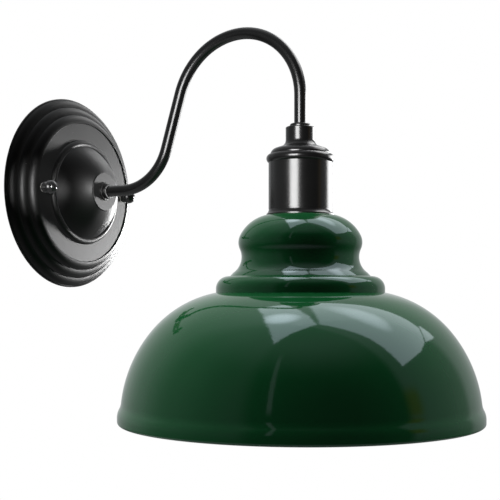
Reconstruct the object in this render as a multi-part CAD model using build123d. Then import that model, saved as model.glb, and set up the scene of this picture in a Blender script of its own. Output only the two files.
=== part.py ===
from build123d import *
import math
import os

# Gooseneck wall sconce with a domed metal shade.
# The wall is the plane Y = 0, the room is on the -Y side, +Z is up, and the
# origin is the centre of the back plate on the wall. Sizes are millimetres.
# "Depth" is the distance from the wall; "level" is the height above the origin.

# Clearances
running_gap = 0.05
slip_gap = 0.3
hole_gap = 0.3

# Arm: a bent tube, horizontal at the wall and vertical at the lamp. Its bends keep
# their shares of the reach.
reach = 244.5
tube_radius = 5.0
tube_wall = 1.0
rise_bend_share = 0.1996
rise_angle = 72.6
rise_share = 0.205
crest_share = 0.2638
drop_share = 0.236
tube_tail = 9.3

# Back plate: a pressed steel dish with three ribs, a flat ring and a domed centre
plate_radius = 87.9
plate_wall = 1.0
rim_lip_height = 2.4
rim_bead_radius = 1.2
rib_count = 3
rib_curve_radius = 8.0
rib_crest_radius = 64.7
rib_crest_depth = 18.6
ring_step = 0.7
base_bead_radius = 48.2
base_bead_width = 5.6
base_bead_height = 3.0
groove_depth = 0.8
nose_radius = 18.3
nose_depth = 41.8
dome_curve_radius = 62.0
nose_edge_radius = 1.3

# Studs and ball nuts that clamp the plate to the mounting bar
stud_spacing = 114.0
stud_radius = 2.0
stud_head_radius = 3.6
stud_head_height = 2.2
washer_radius = 4.2
washer_thickness = 0.6
nut_neck_radius = 3.3
nut_neck_height = 1.2
nut_skirt_radius = 4.9
nut_skirt_height = 1.9
nut_waist_radius = 3.7
nut_ball_radius = 5.8
nut_ball_height = 7.8
nut_bore_depth = 9.0

# Mounting bar on the wall
bar_thickness = 1.5
bar_width = 20.0
bar_length = 132.0
bar_joggle = 4.0
bar_flat_half = 48.0
bar_bend_run = 3.0
wall_slot_spacing = 76.0
wall_slot_width = 4.6
wall_slot_length = 12.0
cable_hole_radius = 6.0

# Terminal block and earth point on the bar
block_offset = 18.5
block_width = 17.0
block_length = 30.0
block_height = 12.0
block_pitch = 9.0
block_tower_radius = 3.4
block_tower_height = 3.0
block_bore_radius = 1.9
block_screw_radius = 1.5
clamp_bore_radius = 0.9
clamp_inset = 1.0
fixing_screw_radius = 1.4
fixing_head_radius = 2.6
fixing_head_height = 1.8
earth_offset = 18.0
earth_screw_radius = 2.0
earth_head_radius = 3.4
earth_head_height = 2.4
earth_tag_radius = 4.4
earth_tag_thickness = 0.8
earth_barrel_radius = 1.9
earth_barrel_length = 4.0

# Collar, washer and nut that hold the arm in the nose
collar_flange_radius = 8.3
collar_flange_height = 1.5
collar_hub_radius = 6.8
collar_hub_height = 4.8
lock_washer_radius = 8.2
lock_washer_thickness = 0.8
lock_washer_teeth = 12
lock_washer_notch = 1.1
arm_nut_flats = 14.0
arm_nut_height = 3.5

# Bushes that guard the wires at the tube ends
bush_flange_radius = 4.9
bush_flange_height = 1.0
bush_sleeve_length = 5.0
bush_sleeve_radius = 3.95
bush_bore_radius = 3.0

# Wires
wire_radius = 1.1
wire_offset = 1.25
wire_straight = 3.0
wire_bend = 6.0
wire_tight_bend = 3.2
wire_drop = 2.0
earth_wire_rise = 3.5

# Lampholder cover, hung on the tube between two nuts
holder_level = 43.0
locknut_radius = 8.6
locknut_height = 2.9
locknut_edge = 1.6
cap_height = 22.2
cap_wall = 1.0
cap_neck_radius = 12.0
cap_neck_height = 10.6
cap_flare_radius = 14.9
cap_flare_height = 15.6
cap_shoulder_radius = 20.8
cap_shoulder_height = 17.6
cap_skirt_radius = 24.5
cap_edge_radius = 0.8
shell_height = 45.3
shell_wall = 0.9
shell_radius = 26.1
shell_bead_curve = 3.8
shell_bead_bulge = 1.85
bridge_height = 18.0
bridge_thickness = 1.2
bridge_width = 12.0
bridge_leg_half = 9.0
bridge_foot_half = 16.6

# Lampholder: insulator, screw shell and contacts
body_radius = 20.5
body_waist_depth = 14.0
skirt_radius = 19.5
skirt_below_shade = 14.5
socket_radius = 13.3
socket_depth = 27.0
socket_recess = 4.0
screw_shell_wall = 0.4
screw_shell_step = 0.7
screw_shell_hole_radius = 7.6
contact_head_radius = 4.5
contact_head_height = 1.0
contact_stem_radius = 1.6
contact_travel = 1.5
contact_washer_radius = 6.2
contact_washer_thickness = 0.5
clip_radius = 2.8
clip_thickness = 0.5
clip_pocket_radius = 3.3
clip_pocket_depth = 6.0
spring_wire_radius = 0.3
spring_coil_radius = 2.6
spring_turns = 3
terminal_offset = 11.5
terminal_width = 6.6
terminal_length = 10.0
terminal_height = 7.0
terminal_pocket_depth = 8.0
terminal_pitch = 5.0
terminal_foot_height = 1.2
terminal_rivet_radius = 1.0
neutral_rivet_offset = 10.5
live_rivet_offset = 5.7
terminal_screw_radius = 1.25
terminal_head_radius = 2.0
terminal_head_height = 1.1
bridge_screw_offset = 13.6
bridge_screw_radius = 1.5
bridge_screw_head = 2.7
bridge_screw_height = 1.8
bridge_screw_reach = 7.0

# Rings that clamp the shade
seat_ring_height = 5.0
seat_ring_top_radius = 25.9
seat_ring_foot_radius = 27.9
shade_ring_radius = 26.6
shade_ring_height = 7.0
shade_ring_flutes = 24
shade_ring_flute_radius = 1.1

# Shade: spun steel bowl; levels are measured down from its flat top
shade_radius = 150.0
shade_wall = 1.0
shade_flat_radius = 27.8
crown_end = (49.7, 16.9)
bulge_end = (49.85, 28.1)
flare_end = (55.2, 47.5)
neck_ring_radius = 69.5
neck_ring_curve = 10.2
neck_ring_level = 60.7
neck_ring_start = 97.0
dome_start_level = 63.9
shoulder_curve = 110.1
shoulder_slope = 38.9
shoulder_foot_slope = 6.3
band_step_curve = 13.9
band_step_slope = 28.4
band_level = 165.0
rim_level = 170.6
rim_curl_radius = 2.6

# Values worked out from the sizes above
tube_bore_radius = tube_radius - tube_wall
rise_bend_radius = rise_bend_share * reach
rise_length = rise_share * reach
crest_radius = crest_share * reach
drop_radius = drop_share * reach
bar_front_depth = bar_joggle + bar_thickness
ring_depth = rib_crest_depth - ring_step
stud_half = stud_spacing / 2
nose_inner_depth = nose_depth - plate_wall
tube_tail_depth = nose_depth - tube_tail
shell_level = holder_level - cap_height
shell_foot_level = shell_level - shell_height
shade_level = shell_foot_level - seat_ring_height
shade_under_level = shade_level - shade_wall
bridge_level = shell_level - shell_wall
body_level = bridge_level - bridge_height
body_foot_level = shade_level - skirt_below_shade
socket_floor_level = body_foot_level + socket_depth
inner_nut_level = bridge_level - bridge_thickness
tube_end_level = inner_nut_level - arm_nut_height - 1.0
bushed_level = tube_end_level - bush_flange_height
bushed_depth = tube_tail_depth - bush_flange_height
screw_shell_radius = socket_radius + screw_shell_wall
body_bore_radius = screw_shell_radius + slip_gap
skirt_hole_radius = skirt_radius + hole_gap
terminal_floor_level = body_level - terminal_pocket_depth
terminal_top_level = terminal_floor_level + terminal_height
clip_floor_level = body_level - clip_pocket_depth
contact_gap = contact_travel + 2 * spring_wire_radius * spring_turns + contact_washer_thickness + slip_gap
contact_head_level = socket_floor_level - contact_gap
thread_top_level = contact_head_level - contact_head_height - slip_gap

wall_plane = Plane(origin=(0, 0, 0), x_dir=(1, 0, 0), z_dir=(0, 0, -1))
side_plane = Plane(origin=(0, 0, 0), x_dir=(0, -1, 0), z_dir=(-1, 0, 0))
lamp_axis = Pos(0, -reach, 0)


# Outlines are drawn as (radius, depth) for what turns about the arm's axis at
# the wall, and as (radius, level) for what turns about the lamp's vertical axis.

def about_wall_axis(section):
    return revolve(wall_plane * section, Axis.Y)


def about_lamp_axis(section):
    return lamp_axis * revolve(Plane.XZ * section, Axis.Z)


def closed(*edges):
    return make_face(Curve() + list(edges))


def band(inner, low, outer, high):
    return make_face(Polyline((inner, low), (outer, low), (outer, high), (inner, high), close=True))


def pressed_sheet(edges, wall):
    """Sheet metal whose shown face follows the edges, drawn outwards from the hole."""
    return make_face(offset(Curve() + edges, amount=wall, side=Side.RIGHT).edges())


def wall_rod(radius, start, end):
    """A round bar along the wall's normal, between two depths."""
    return extrude(Plane.XZ.offset(start) * Circle(radius), end - start)


def lamp_rod(radius, low, high):
    """A round bar that stands upright, between two levels."""
    return Pos(0, 0, low) * extrude(Circle(radius), high - low)


def hex_nut(flats, height, hole):
    """A nut on the XY plane with its upper corners turned down."""
    corner = flats / math.sqrt(3)
    blank = extrude(RegularPolygon(flats / 2, 6, major_radius=False), height)
    crown = Cone(corner + height, corner * 0.93, height, align=(Align.CENTER, Align.CENTER, Align.MIN))
    return (blank & crown) - extrude(Circle(hole), height)


def lock_washer():
    """A flat washer on the XY plane with a toothed edge."""
    blank = extrude(Circle(lock_washer_radius) - Circle(tube_radius + running_gap), lock_washer_thickness)
    notch = extrude(Rectangle(2 * lock_washer_notch, lock_washer_notch), lock_washer_thickness)
    return blank - [loc * notch for loc in PolarLocations(lock_washer_radius, lock_washer_teeth)]


def write(node, shape):
    solids = shape.solids()
    export_step(solids[0] if len(solids) == 1 else Compound(solids), f"parts/{node}.step")


# Wall side

def back_plate():
    nose_rim = nose_radius - nose_edge_radius
    groove = (base_bead_radius - base_bead_width, ring_depth + base_bead_height - groove_depth)
    bead_top = (base_bead_radius - base_bead_width / 2, ring_depth + base_bead_height)
    bead_foot = (base_bead_radius, ring_depth)
    crest = Vector(rib_crest_radius, rib_crest_depth)
    lip = Vector(plate_radius - rim_bead_radius, rim_lip_height)
    edges = [Line((tube_radius + hole_gap, nose_depth), (nose_rim, nose_depth))]
    edges.append(JernArc(edges[-1] @ 1, (1, 0), nose_edge_radius, -60))
    edges.append(RadiusArc(edges[-1] @ 1, groove, dome_curve_radius))
    edges.append(ThreePointArc(groove, bead_top, bead_foot))
    edges.append(Line(bead_foot, (rib_crest_radius - ring_step, ring_depth)))
    edges.append(Line(edges[-1] @ 1, crest))
    for rib in range(rib_count):
        rib_end = crest + (lip - crest) * ((rib + 1) / rib_count)
        edges.append(RadiusArc(edges[-1] @ 1, rib_end, rib_curve_radius))
    edges.append(JernArc(lip, (1, 0), rim_bead_radius, -90))
    edges.append(Line(edges[-1] @ 1, (plate_radius, 0)))
    plate = about_wall_axis(pressed_sheet(edges, plate_wall))
    stud_hole = wall_rod(stud_radius + hole_gap, 0, nose_depth)
    return plate - [Pos(side * stud_half, 0, 0) * stud_hole for side in (-1, 1)]


def mounting_bar():
    bend_end = bar_flat_half + bar_bend_run
    half = [(0, 0), (bar_flat_half, 0), (bend_end, bar_joggle), (bar_length / 2, bar_joggle)]
    front = [(bar_length / 2, bar_front_depth), (bend_end, bar_front_depth), (bar_flat_half, bar_thickness)]
    right = half + front + [(0, bar_thickness)]
    strip = extrude(wall_plane * make_face(Polyline(right, close=True)), bar_width / 2, both=True)
    strip += mirror(strip, Plane.YZ)
    through = bar_front_depth
    slot = extrude(Plane.XZ * SlotOverall(wall_slot_length, wall_slot_width), through)
    stud_hole = wall_rod(stud_radius + running_gap, 0, through)
    for side in (-1, 1):
        strip -= Pos(side * wall_slot_spacing / 2, 0, 0) * slot
        strip -= Pos(side * stud_half, 0, 0) * stud_hole
    strip -= wall_rod(cable_hole_radius, 0, through)
    strip -= Pos(block_offset, 0, block_pitch / 2) * wall_rod(fixing_screw_radius + running_gap, 0, through)
    strip -= Pos(-earth_offset, 0, 0) * wall_rod(earth_screw_radius + running_gap, 0, through)
    return strip


def plate_studs():
    head = wall_rod(stud_head_radius, bar_joggle - stud_head_height, bar_joggle)
    stud_end = ring_depth + washer_thickness + nut_bore_depth - slip_gap
    stud = head + wall_rod(stud_radius, bar_joggle, stud_end)
    return Compound([Pos(side * stud_half, 0, 0) * stud for side in (-1, 1)])


def stud_washers():
    ring = wall_rod(washer_radius, ring_depth, ring_depth + washer_thickness)
    ring -= wall_rod(stud_radius + hole_gap, ring_depth, ring_depth + washer_thickness)
    return Compound([Pos(side * stud_half, 0, 0) * ring for side in (-1, 1)])


def ball_nut():
    foot = ring_depth + washer_thickness + running_gap
    skirt_level = foot + nut_neck_height
    waist_level = skirt_level + nut_skirt_height
    centre = foot + nut_ball_height
    waist_drop = math.sqrt(nut_ball_radius ** 2 - nut_waist_radius ** 2)
    ball_foot = (nut_waist_radius, centre - waist_drop)
    outline = [
        Line((0, foot), (nut_neck_radius, foot)),
        Line((nut_neck_radius, foot), (nut_neck_radius, skirt_level)),
        Line((nut_neck_radius, skirt_level), (nut_skirt_radius, skirt_level)),
        Line((nut_skirt_radius, skirt_level), (nut_waist_radius, waist_level)),
        Line((nut_waist_radius, waist_level), ball_foot),
        ThreePointArc(ball_foot, (nut_ball_radius, centre), (0, centre + nut_ball_radius)),
        Line((0, centre + nut_ball_radius), (0, foot)),
    ]
    bore_end = foot + nut_bore_depth
    return about_wall_axis(closed(*outline)) - wall_rod(stud_radius + running_gap, foot, bore_end)


def arm_collar():
    hub_end = nose_depth + collar_hub_height
    flange_end = nose_depth + collar_flange_height
    inner = tube_radius + running_gap
    edge = collar_flange_height / 2
    outline = [
        Line((inner, nose_depth), (collar_flange_radius, nose_depth)),
        Line((collar_flange_radius, nose_depth), (collar_flange_radius, nose_depth + edge)),
        JernArc((collar_flange_radius, nose_depth + edge), (0, 1), edge, 90),
        Line((collar_flange_radius - edge, flange_end), (collar_hub_radius, flange_end)),
        Line((collar_hub_radius, flange_end), (collar_hub_radius, hub_end - edge)),
        JernArc((collar_hub_radius, hub_end - edge), (0, 1), edge, 90),
        Line((collar_hub_radius - edge, hub_end), (inner, hub_end)),
        Line((inner, hub_end), (inner, nose_depth)),
    ]
    return about_wall_axis(closed(*outline))


def facing_wall(shape, depth):
    """Move a shape from the XY plane to a depth, with its height towards the wall."""
    return Plane(origin=(0, -depth, 0), x_dir=(1, 0, 0), z_dir=(0, 1, 0)) * shape


def arm_lock_washer():
    return facing_wall(lock_washer(), nose_inner_depth)


def arm_nut():
    nut = hex_nut(arm_nut_flats, arm_nut_height, tube_radius + running_gap)
    return facing_wall(nut, nose_inner_depth - lock_washer_thickness)


# Arm

def arm_edges():
    """The tube's centre line as edges in (depth, level), from the wall end to the lamp end."""
    angle = math.radians(rise_angle)
    rise_run = rise_bend_radius * math.sin(angle) + rise_length * math.cos(angle)
    crest_run = crest_radius * math.sin(angle) + drop_radius
    tail = Line((tube_tail_depth, 0), (reach - rise_run - crest_run, 0))
    bend = JernArc(tail @ 1, tail % 1, rise_bend_radius, rise_angle)
    rise = Line(bend @ 1, bend @ 1 + (bend % 1) * rise_length)
    crest = JernArc(rise @ 1, rise % 1, crest_radius, -rise_angle)
    drop = JernArc(crest @ 1, crest % 1, drop_radius, -90)
    fall = Line(drop @ 1, (reach, tube_end_level))
    return [tail, bend, rise, crest, drop, fall]


def swept(path, section):
    start = Plane(origin=path @ 0, z_dir=path % 0)
    return sweep(start * section, path=path)


def gooseneck_tube():
    path = Wire([side_plane * edge for edge in arm_edges()])
    return swept(path, Circle(tube_radius)) - swept(path, Circle(tube_bore_radius))


def tube_bush():
    """A flanged bush on the XY plane, with its sleeve upwards."""
    flange = extrude(Circle(bush_flange_radius), bush_flange_height)
    sleeve = lamp_rod(bush_sleeve_radius, bush_flange_height, bush_flange_height + bush_sleeve_length)
    return flange + sleeve - lamp_rod(bush_bore_radius, 0, bush_flange_height + bush_sleeve_length)


def tube_bush_wall():
    return Plane(origin=(0, -bushed_depth, 0), x_dir=(1, 0, 0), z_dir=(0, -1, 0)) * tube_bush()


def tube_bush_lamp():
    return lamp_axis * Pos(0, 0, bushed_level) * tube_bush()


# Lampholder cover

def holder_locknut():
    low = holder_level
    high = holder_level + locknut_height
    inner = tube_radius + running_gap
    edge_foot = (locknut_radius, high - locknut_edge)
    edge_top = (locknut_radius - locknut_edge, high)
    outline = [
        Line((inner, low), (locknut_radius, low)),
        Line((locknut_radius, low), edge_foot),
        TangentArc(edge_foot, edge_top, tangent=(0, 1)),
        Line(edge_top, (inner, high)),
        Line((inner, high), (inner, low)),
    ]
    return about_lamp_axis(closed(*outline))


def holder_cap():
    top = holder_level
    neck_foot = (cap_neck_radius, top - cap_neck_height)
    flare_foot = (cap_flare_radius, top - cap_flare_height)
    shoulder = (cap_shoulder_radius, top - cap_shoulder_height)
    edges = [Line((tube_radius + hole_gap, top), (cap_neck_radius - cap_edge_radius, top))]
    edges.append(JernArc(edges[-1] @ 1, (1, 0), cap_edge_radius, -90))
    edges.append(Line(edges[-1] @ 1, neck_foot))
    edges.append(TangentArc(neck_foot, flare_foot, tangent=(0, -1)))
    edges.append(Line(flare_foot, shoulder))
    edges.append(TangentArc(shoulder, (cap_skirt_radius, shell_level + cap_edge_radius), tangent=(1, -0.35)))
    edges.append(Line(edges[-1] @ 1, (cap_skirt_radius, shell_level)))
    return about_lamp_axis(pressed_sheet(edges, cap_wall))


def holder_shell():
    bead_centre = Vector(shell_radius + shell_bead_bulge - shell_bead_curve, shell_level - shell_bead_curve)
    bead_in = bead_centre.X - shell_radius
    bead_drop = math.sqrt(shell_bead_curve ** 2 - bead_in ** 2)
    bead_foot = (shell_radius, bead_centre.Y - bead_drop)
    bead_side = (bead_centre.X + shell_bead_curve, bead_centre.Y)
    edges = [Line((tube_radius + hole_gap, shell_level), (bead_centre.X, shell_level))]
    edges.append(ThreePointArc(edges[-1] @ 1, bead_side, bead_foot))
    edges.append(Line(bead_foot, (shell_radius, shell_foot_level)))
    return about_lamp_axis(pressed_sheet(edges, shell_wall))


def holder_bridge():
    """A bent strap: a web under the shell's top, two legs and two feet on the insulator."""
    leg = bridge_leg_half
    foot_top = body_level + bridge_thickness
    outer = leg + bridge_thickness
    half = [(0, bridge_level), (outer, bridge_level), (outer, foot_top), (bridge_foot_half, foot_top)]
    half += [(bridge_foot_half, body_level), (leg, body_level), (leg, inner_nut_level), (0, inner_nut_level)]
    strap = extrude(Plane.YZ * make_face(Polyline(half, close=True)), bridge_width / 2, both=True)
    strap += mirror(strap, Plane.XZ)
    strap -= lamp_rod(tube_radius + hole_gap, inner_nut_level, bridge_level)
    hole = lamp_rod(bridge_screw_radius + hole_gap, body_level, foot_top)
    strap -= [Pos(0, side * bridge_screw_offset, 0) * hole for side in (-1, 1)]
    return lamp_axis * strap


def bridge_screws():
    foot_top = body_level + bridge_thickness
    screw = lamp_rod(bridge_screw_head, foot_top, foot_top + bridge_screw_height)
    screw += lamp_rod(bridge_screw_radius, body_level - bridge_screw_reach, foot_top)
    return lamp_axis * Compound([Pos(0, side * bridge_screw_offset, 0) * screw for side in (-1, 1)])


def holder_inner_nut():
    nut = hex_nut(arm_nut_flats, arm_nut_height, tube_radius + running_gap)
    return lamp_axis * Pos(0, 0, inner_nut_level) * (Rot(180, 0, 0) * nut)


# Lampholder

def terminal_wells():
    """The room for both terminals and the live terminal's foot in the insulator's top."""
    depth = terminal_pocket_depth
    room = Box(terminal_width + 2 * slip_gap, terminal_length + 2 * slip_gap, depth,
               align=(Align.CENTER, Align.CENTER, Align.MIN))
    wells = Pos(terminal_offset, 0, terminal_floor_level) * room
    wells += Pos(-terminal_offset, 0, terminal_floor_level) * room
    foot_inner = live_rivet_offset - terminal_rivet_radius - slip_gap
    slot = Box(terminal_offset - foot_inner, 2 * terminal_rivet_radius + 2 * slip_gap, depth,
               align=(Align.MAX, Align.CENTER, Align.MIN))
    return wells + Pos(-foot_inner, 0, terminal_floor_level) * slot


def lampholder_body():
    waist = body_level - body_waist_depth
    chamfer_drop = body_radius - skirt_radius
    outline = [(0, body_level), (body_radius, body_level), (body_radius, waist)]
    outline += [(skirt_radius, waist - chamfer_drop), (skirt_radius, body_foot_level)]
    outline += [(body_bore_radius, body_foot_level), (body_bore_radius, socket_floor_level)]
    outline += [(0, socket_floor_level)]
    body = revolve(Plane.XZ * make_face(Polyline(outline, close=True)), Axis.Z)
    body -= lamp_rod(contact_stem_radius + running_gap, socket_floor_level, body_level)
    body -= lamp_rod(clip_pocket_radius, clip_floor_level, body_level)
    body -= terminal_wells()
    rivet_hole = lamp_rod(terminal_rivet_radius + running_gap, socket_floor_level, terminal_floor_level)
    body -= Pos(neutral_rivet_offset, 0, 0) * rivet_hole
    body -= Pos(-live_rivet_offset, 0, 0) * rivet_hole
    hole_floor = body_level - bridge_screw_reach - slip_gap
    screw_hole = lamp_rod(bridge_screw_radius + running_gap, hole_floor, body_level)
    body -= [Pos(0, side * bridge_screw_offset, 0) * screw_hole for side in (-1, 1)]
    return lamp_axis * body


def screw_shell():
    low = body_foot_level + socket_recess
    neck = socket_radius - screw_shell_step
    under = socket_floor_level - screw_shell_wall
    outline = Polyline(
        (screw_shell_hole_radius, socket_floor_level),
        (neck + screw_shell_wall, socket_floor_level),
        (neck + screw_shell_wall, thread_top_level + screw_shell_wall),
        (screw_shell_radius, thread_top_level + screw_shell_wall),
        (screw_shell_radius, low),
        (socket_radius, low),
        (socket_radius, thread_top_level),
        (neck, thread_top_level),
        (neck, under),
        (screw_shell_hole_radius, under),
        close=True,
    )
    return about_lamp_axis(make_face(outline))


def terminal(rivet_offset):
    """A brass terminal on the +X side, riveted down through the insulator."""
    block = Pos(terminal_offset, 0, terminal_floor_level) * Box(
        terminal_width, terminal_length, terminal_height, align=(Align.CENTER, Align.CENTER, Align.MIN))
    foot_inner = rivet_offset - terminal_rivet_radius
    if foot_inner < terminal_offset - terminal_width / 2:
        foot = Box(terminal_offset - foot_inner, 2 * terminal_rivet_radius, terminal_foot_height,
                   align=(Align.MIN, Align.CENTER, Align.MIN))
        block += Pos(foot_inner, 0, terminal_floor_level) * foot
    rivet = lamp_rod(terminal_rivet_radius, socket_floor_level, terminal_floor_level)
    block += Pos(rivet_offset, 0, 0) * rivet
    screw_hole = lamp_rod(terminal_screw_radius + running_gap, terminal_floor_level + terminal_foot_height,
                          terminal_top_level)
    return block - Pos(terminal_offset, -terminal_pitch / 2, 0) * screw_hole


def neutral_terminal():
    return lamp_axis * terminal(neutral_rivet_offset)


def live_terminal():
    return lamp_axis * mirror(terminal(live_rivet_offset), Plane.YZ)


def terminal_screws():
    head = lamp_rod(terminal_head_radius, terminal_top_level, terminal_top_level + terminal_head_height)
    shank_foot = terminal_floor_level + terminal_foot_height + slip_gap
    screw = head + lamp_rod(terminal_screw_radius, shank_foot, terminal_top_level)
    pair = [Pos(side * terminal_offset, -terminal_pitch / 2, 0) * screw for side in (-1, 1)]
    return lamp_axis * Compound(pair)


def contact_washer():
    low = socket_floor_level - contact_washer_thickness
    inner = contact_stem_radius + hole_gap
    return about_lamp_axis(band(inner, low, contact_washer_radius, socket_floor_level))


def centre_contact():
    head_low = contact_head_level - contact_head_height
    stem_top = clip_floor_level + running_gap + 2 * clip_thickness
    edge = contact_head_height / 2
    outline = [
        Line((0, head_low), (contact_head_radius - edge, head_low)),
        JernArc((contact_head_radius - edge, head_low), (1, 0), edge, 90),
        Line((contact_head_radius, head_low + edge), (contact_head_radius, contact_head_level)),
        Line((contact_head_radius, contact_head_level), (contact_stem_radius, contact_head_level)),
        Line((contact_stem_radius, contact_head_level), (contact_stem_radius, stem_top)),
        Line((contact_stem_radius, stem_top), (0, stem_top)),
        Line((0, stem_top), (0, head_low)),
    ]
    return about_lamp_axis(closed(*outline))


def contact_clip():
    low = clip_floor_level + running_gap
    return about_lamp_axis(band(contact_stem_radius, low, clip_radius, low + clip_thickness))


def contact_spring():
    low = contact_head_level + spring_wire_radius + running_gap
    high = socket_floor_level - contact_washer_thickness - spring_wire_radius - running_gap
    coil = Helix((high - low) / spring_turns, high - low, spring_coil_radius)
    wire = swept(coil, Circle(spring_wire_radius))
    return lamp_axis * Pos(0, 0, low) * wire


# Shade and its rings

def seat_ring():
    foot_edge = (seat_ring_foot_radius, shade_level + cap_edge_radius)
    outline = [
        Line((skirt_hole_radius, shade_level), (seat_ring_foot_radius, shade_level)),
        Line((seat_ring_foot_radius, shade_level), foot_edge),
        TangentArc((seat_ring_top_radius, shell_foot_level), foot_edge, tangent=(0, -1)),
        Line((seat_ring_top_radius, shell_foot_level), (skirt_hole_radius, shell_foot_level)),
        Line((skirt_hole_radius, shell_foot_level), (skirt_hole_radius, shade_level)),
    ]
    return about_lamp_axis(closed(*outline))


def shade_ring():
    high = shade_under_level - running_gap
    low = high - shade_ring_height
    ring = revolve(Plane.XZ * band(skirt_radius + running_gap, low, shade_ring_radius, high), Axis.Z)
    flute = lamp_rod(shade_ring_flute_radius, low, high)
    ring -= [place * flute for place in PolarLocations(shade_ring_radius, shade_ring_flutes)]
    return lamp_axis * ring


def shade_edges():
    """The shade's shown face from its top hole to the curl of its rim, level 0 at the top."""
    def down(point):
        return (point[0], -point[1])

    edges = [Line((skirt_hole_radius, 0), (shade_flat_radius, 0))]
    edges.append(TangentArc(edges[-1] @ 1, down(crown_end), tangent=(1, -0.2)))
    edges.append(TangentArc(edges[-1] @ 1, down(bulge_end), tangent=edges[-1] % 1))
    edges.append(TangentArc(edges[-1] @ 1, down(flare_end), tangent=edges[-1] % 1))
    ring_centre = (neck_ring_radius - neck_ring_curve, -neck_ring_level)
    ring = CenterArc(ring_centre, neck_ring_curve, 0, neck_ring_start)
    dome_start = (neck_ring_radius, -dome_start_level)
    edges += [Line(edges[-1] @ 1, ring @ 1), ring, Line(ring @ 0, dome_start)]
    band_top = (shade_radius, -band_level)
    step_out = JernArc(band_top, (0, 1), band_step_curve, band_step_slope)
    step_in = JernArc(step_out @ 1, step_out % 1, band_step_curve, shoulder_foot_slope - band_step_slope)
    shoulder = JernArc(step_in @ 1, step_in % 1, shoulder_curve, shoulder_slope - shoulder_foot_slope)
    crown = TangentArc(shoulder @ 1, dome_start, tangent=shoulder % 1)
    rim = Line(band_top, (shade_radius, rim_curl_radius - rim_level))
    curl = JernArc(rim @ 1, (0, -1), rim_curl_radius, -180)
    return edges + [crown, shoulder, step_in, step_out, rim, curl]


def shade():
    section = pressed_sheet(shade_edges(), shade_wall)
    return Pos(0, 0, shade_level) * about_lamp_axis(section)


# Connections behind the plate

def on_bar(x, level, depth=bar_thickness):
    """The place of a shape from the XY plane that stands out from the bar."""
    return Plane(origin=(x, -depth, level), x_dir=(1, 0, 0), z_dir=(0, -1, 0))


def block_places():
    return [(side * block_width / 4, row * block_pitch) for side in (-1, 1) for row in (-1, 0, 1)]


def along_poles(radius, length):
    """Three rods across the block at its poles' height."""
    rod = Pos(0, 0, block_height / 2) * (Rot(0, 90, 0) * Cylinder(radius, length))
    return [Pos(0, row * block_pitch, 0) * rod for row in (-1, 0, 1)]


def terminal_block():
    top = block_height + block_tower_height
    base = extrude(RectangleRounded(block_width, block_length, block_tower_radius / 2), block_height)
    tower = lamp_rod(block_tower_radius, block_height, top)
    screw_hole = lamp_rod(block_screw_radius + running_gap, block_height / 2, top)
    for x, y in block_places():
        base += Pos(x, y, 0) * tower
    base -= [Pos(x, y, 0) * screw_hole for x, y in block_places()]
    base -= along_poles(block_bore_radius, block_width)
    fixing_hole = Pos(0, block_pitch / 2, 0) * lamp_rod(fixing_screw_radius + hole_gap, 0, top)
    return on_bar(block_offset, 0) * (base - fixing_hole)


def block_clamps():
    length = block_width - 2 * clamp_inset
    sleeve = along_poles(block_bore_radius - running_gap, length)
    bore = along_poles(clamp_bore_radius, length)
    return on_bar(block_offset, 0) * Compound([outer - inner for outer, inner in zip(sleeve, bore)])


def block_screws():
    foot = block_height / 2 + block_bore_radius
    screw = lamp_rod(block_screw_radius, foot, block_height + block_tower_height - clamp_inset)
    return on_bar(block_offset, 0) * Compound([Pos(x, y, 0) * screw for x, y in block_places()])


def block_fixing_screw():
    screw = lamp_rod(fixing_head_radius, block_height, block_height + fixing_head_height)
    screw += lamp_rod(fixing_screw_radius, slip_gap - bar_thickness, block_height)
    return on_bar(block_offset, block_pitch / 2) * screw


def earth_tag():
    ring = extrude(Circle(earth_tag_radius) - Circle(earth_screw_radius + hole_gap), earth_tag_thickness)
    barrel = Pos(earth_head_radius + slip_gap, 0, earth_barrel_radius + slip_gap) * (
        Rot(0, 90, 0) * Cylinder(earth_barrel_radius, earth_barrel_length,
                                 align=(Align.CENTER, Align.CENTER, Align.MIN)))
    return on_bar(-earth_offset, 0) * (ring + barrel)


def earth_screw():
    head_foot = earth_tag_thickness
    screw = lamp_rod(earth_head_radius, head_foot, head_foot + earth_head_height)
    screw += lamp_rod(earth_screw_radius, slip_gap - bar_thickness, head_foot)
    return on_bar(-earth_offset, 0) * screw


# Wires: each runs from a clamp of the terminal block to its own end

def clamp_point(row):
    clamp_end = block_offset - block_width / 2 + clamp_inset
    return Vector(clamp_end, -bar_thickness - block_height / 2, row * block_pitch)


def earth_wire():
    end = clamp_point(0)
    start_x = -earth_offset + earth_head_radius + slip_gap + earth_barrel_length
    start = Vector(start_x, -bar_thickness - earth_barrel_radius - slip_gap, 0)
    rise = Vector(earth_wire_rise, 0, 0)
    path = FilletPolyline(start, start + rise, end - rise * 2, end, radius=wire_bend)
    return swept(path, Circle(wire_radius))


def arm_wire(side):
    """A wire from the block, through the arm, to the terminal on one side of the lampholder."""
    x = side * wire_offset
    clamp = clamp_point(-side)
    turn = Vector(x, clamp.Y, clamp.Z)
    entry = Vector(x, wire_straight - bushed_depth, 0)
    tail, *arm, fall = [Pos(x, 0, 0) * (side_plane * edge) for edge in arm_edges()]
    lead_in = FilletPolyline(clamp, turn, entry, tail @ 1, radius=wire_bend)
    leave = Vector(x, -reach, bushed_level - wire_drop)
    spread_x = side * terminal_offset
    spread_y = terminal_pitch / 2 - reach
    above = Vector(spread_x, spread_y, (bushed_level + terminal_top_level) / 2 - wire_radius)
    drop_end = Vector(spread_x, spread_y, terminal_top_level)
    lead_out = FilletPolyline(fall @ 0, leave, above, drop_end, radius=wire_tight_bend)
    path = Wire(lead_in.edges() + arm + lead_out.edges())
    return swept(path, Circle(wire_radius))


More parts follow.
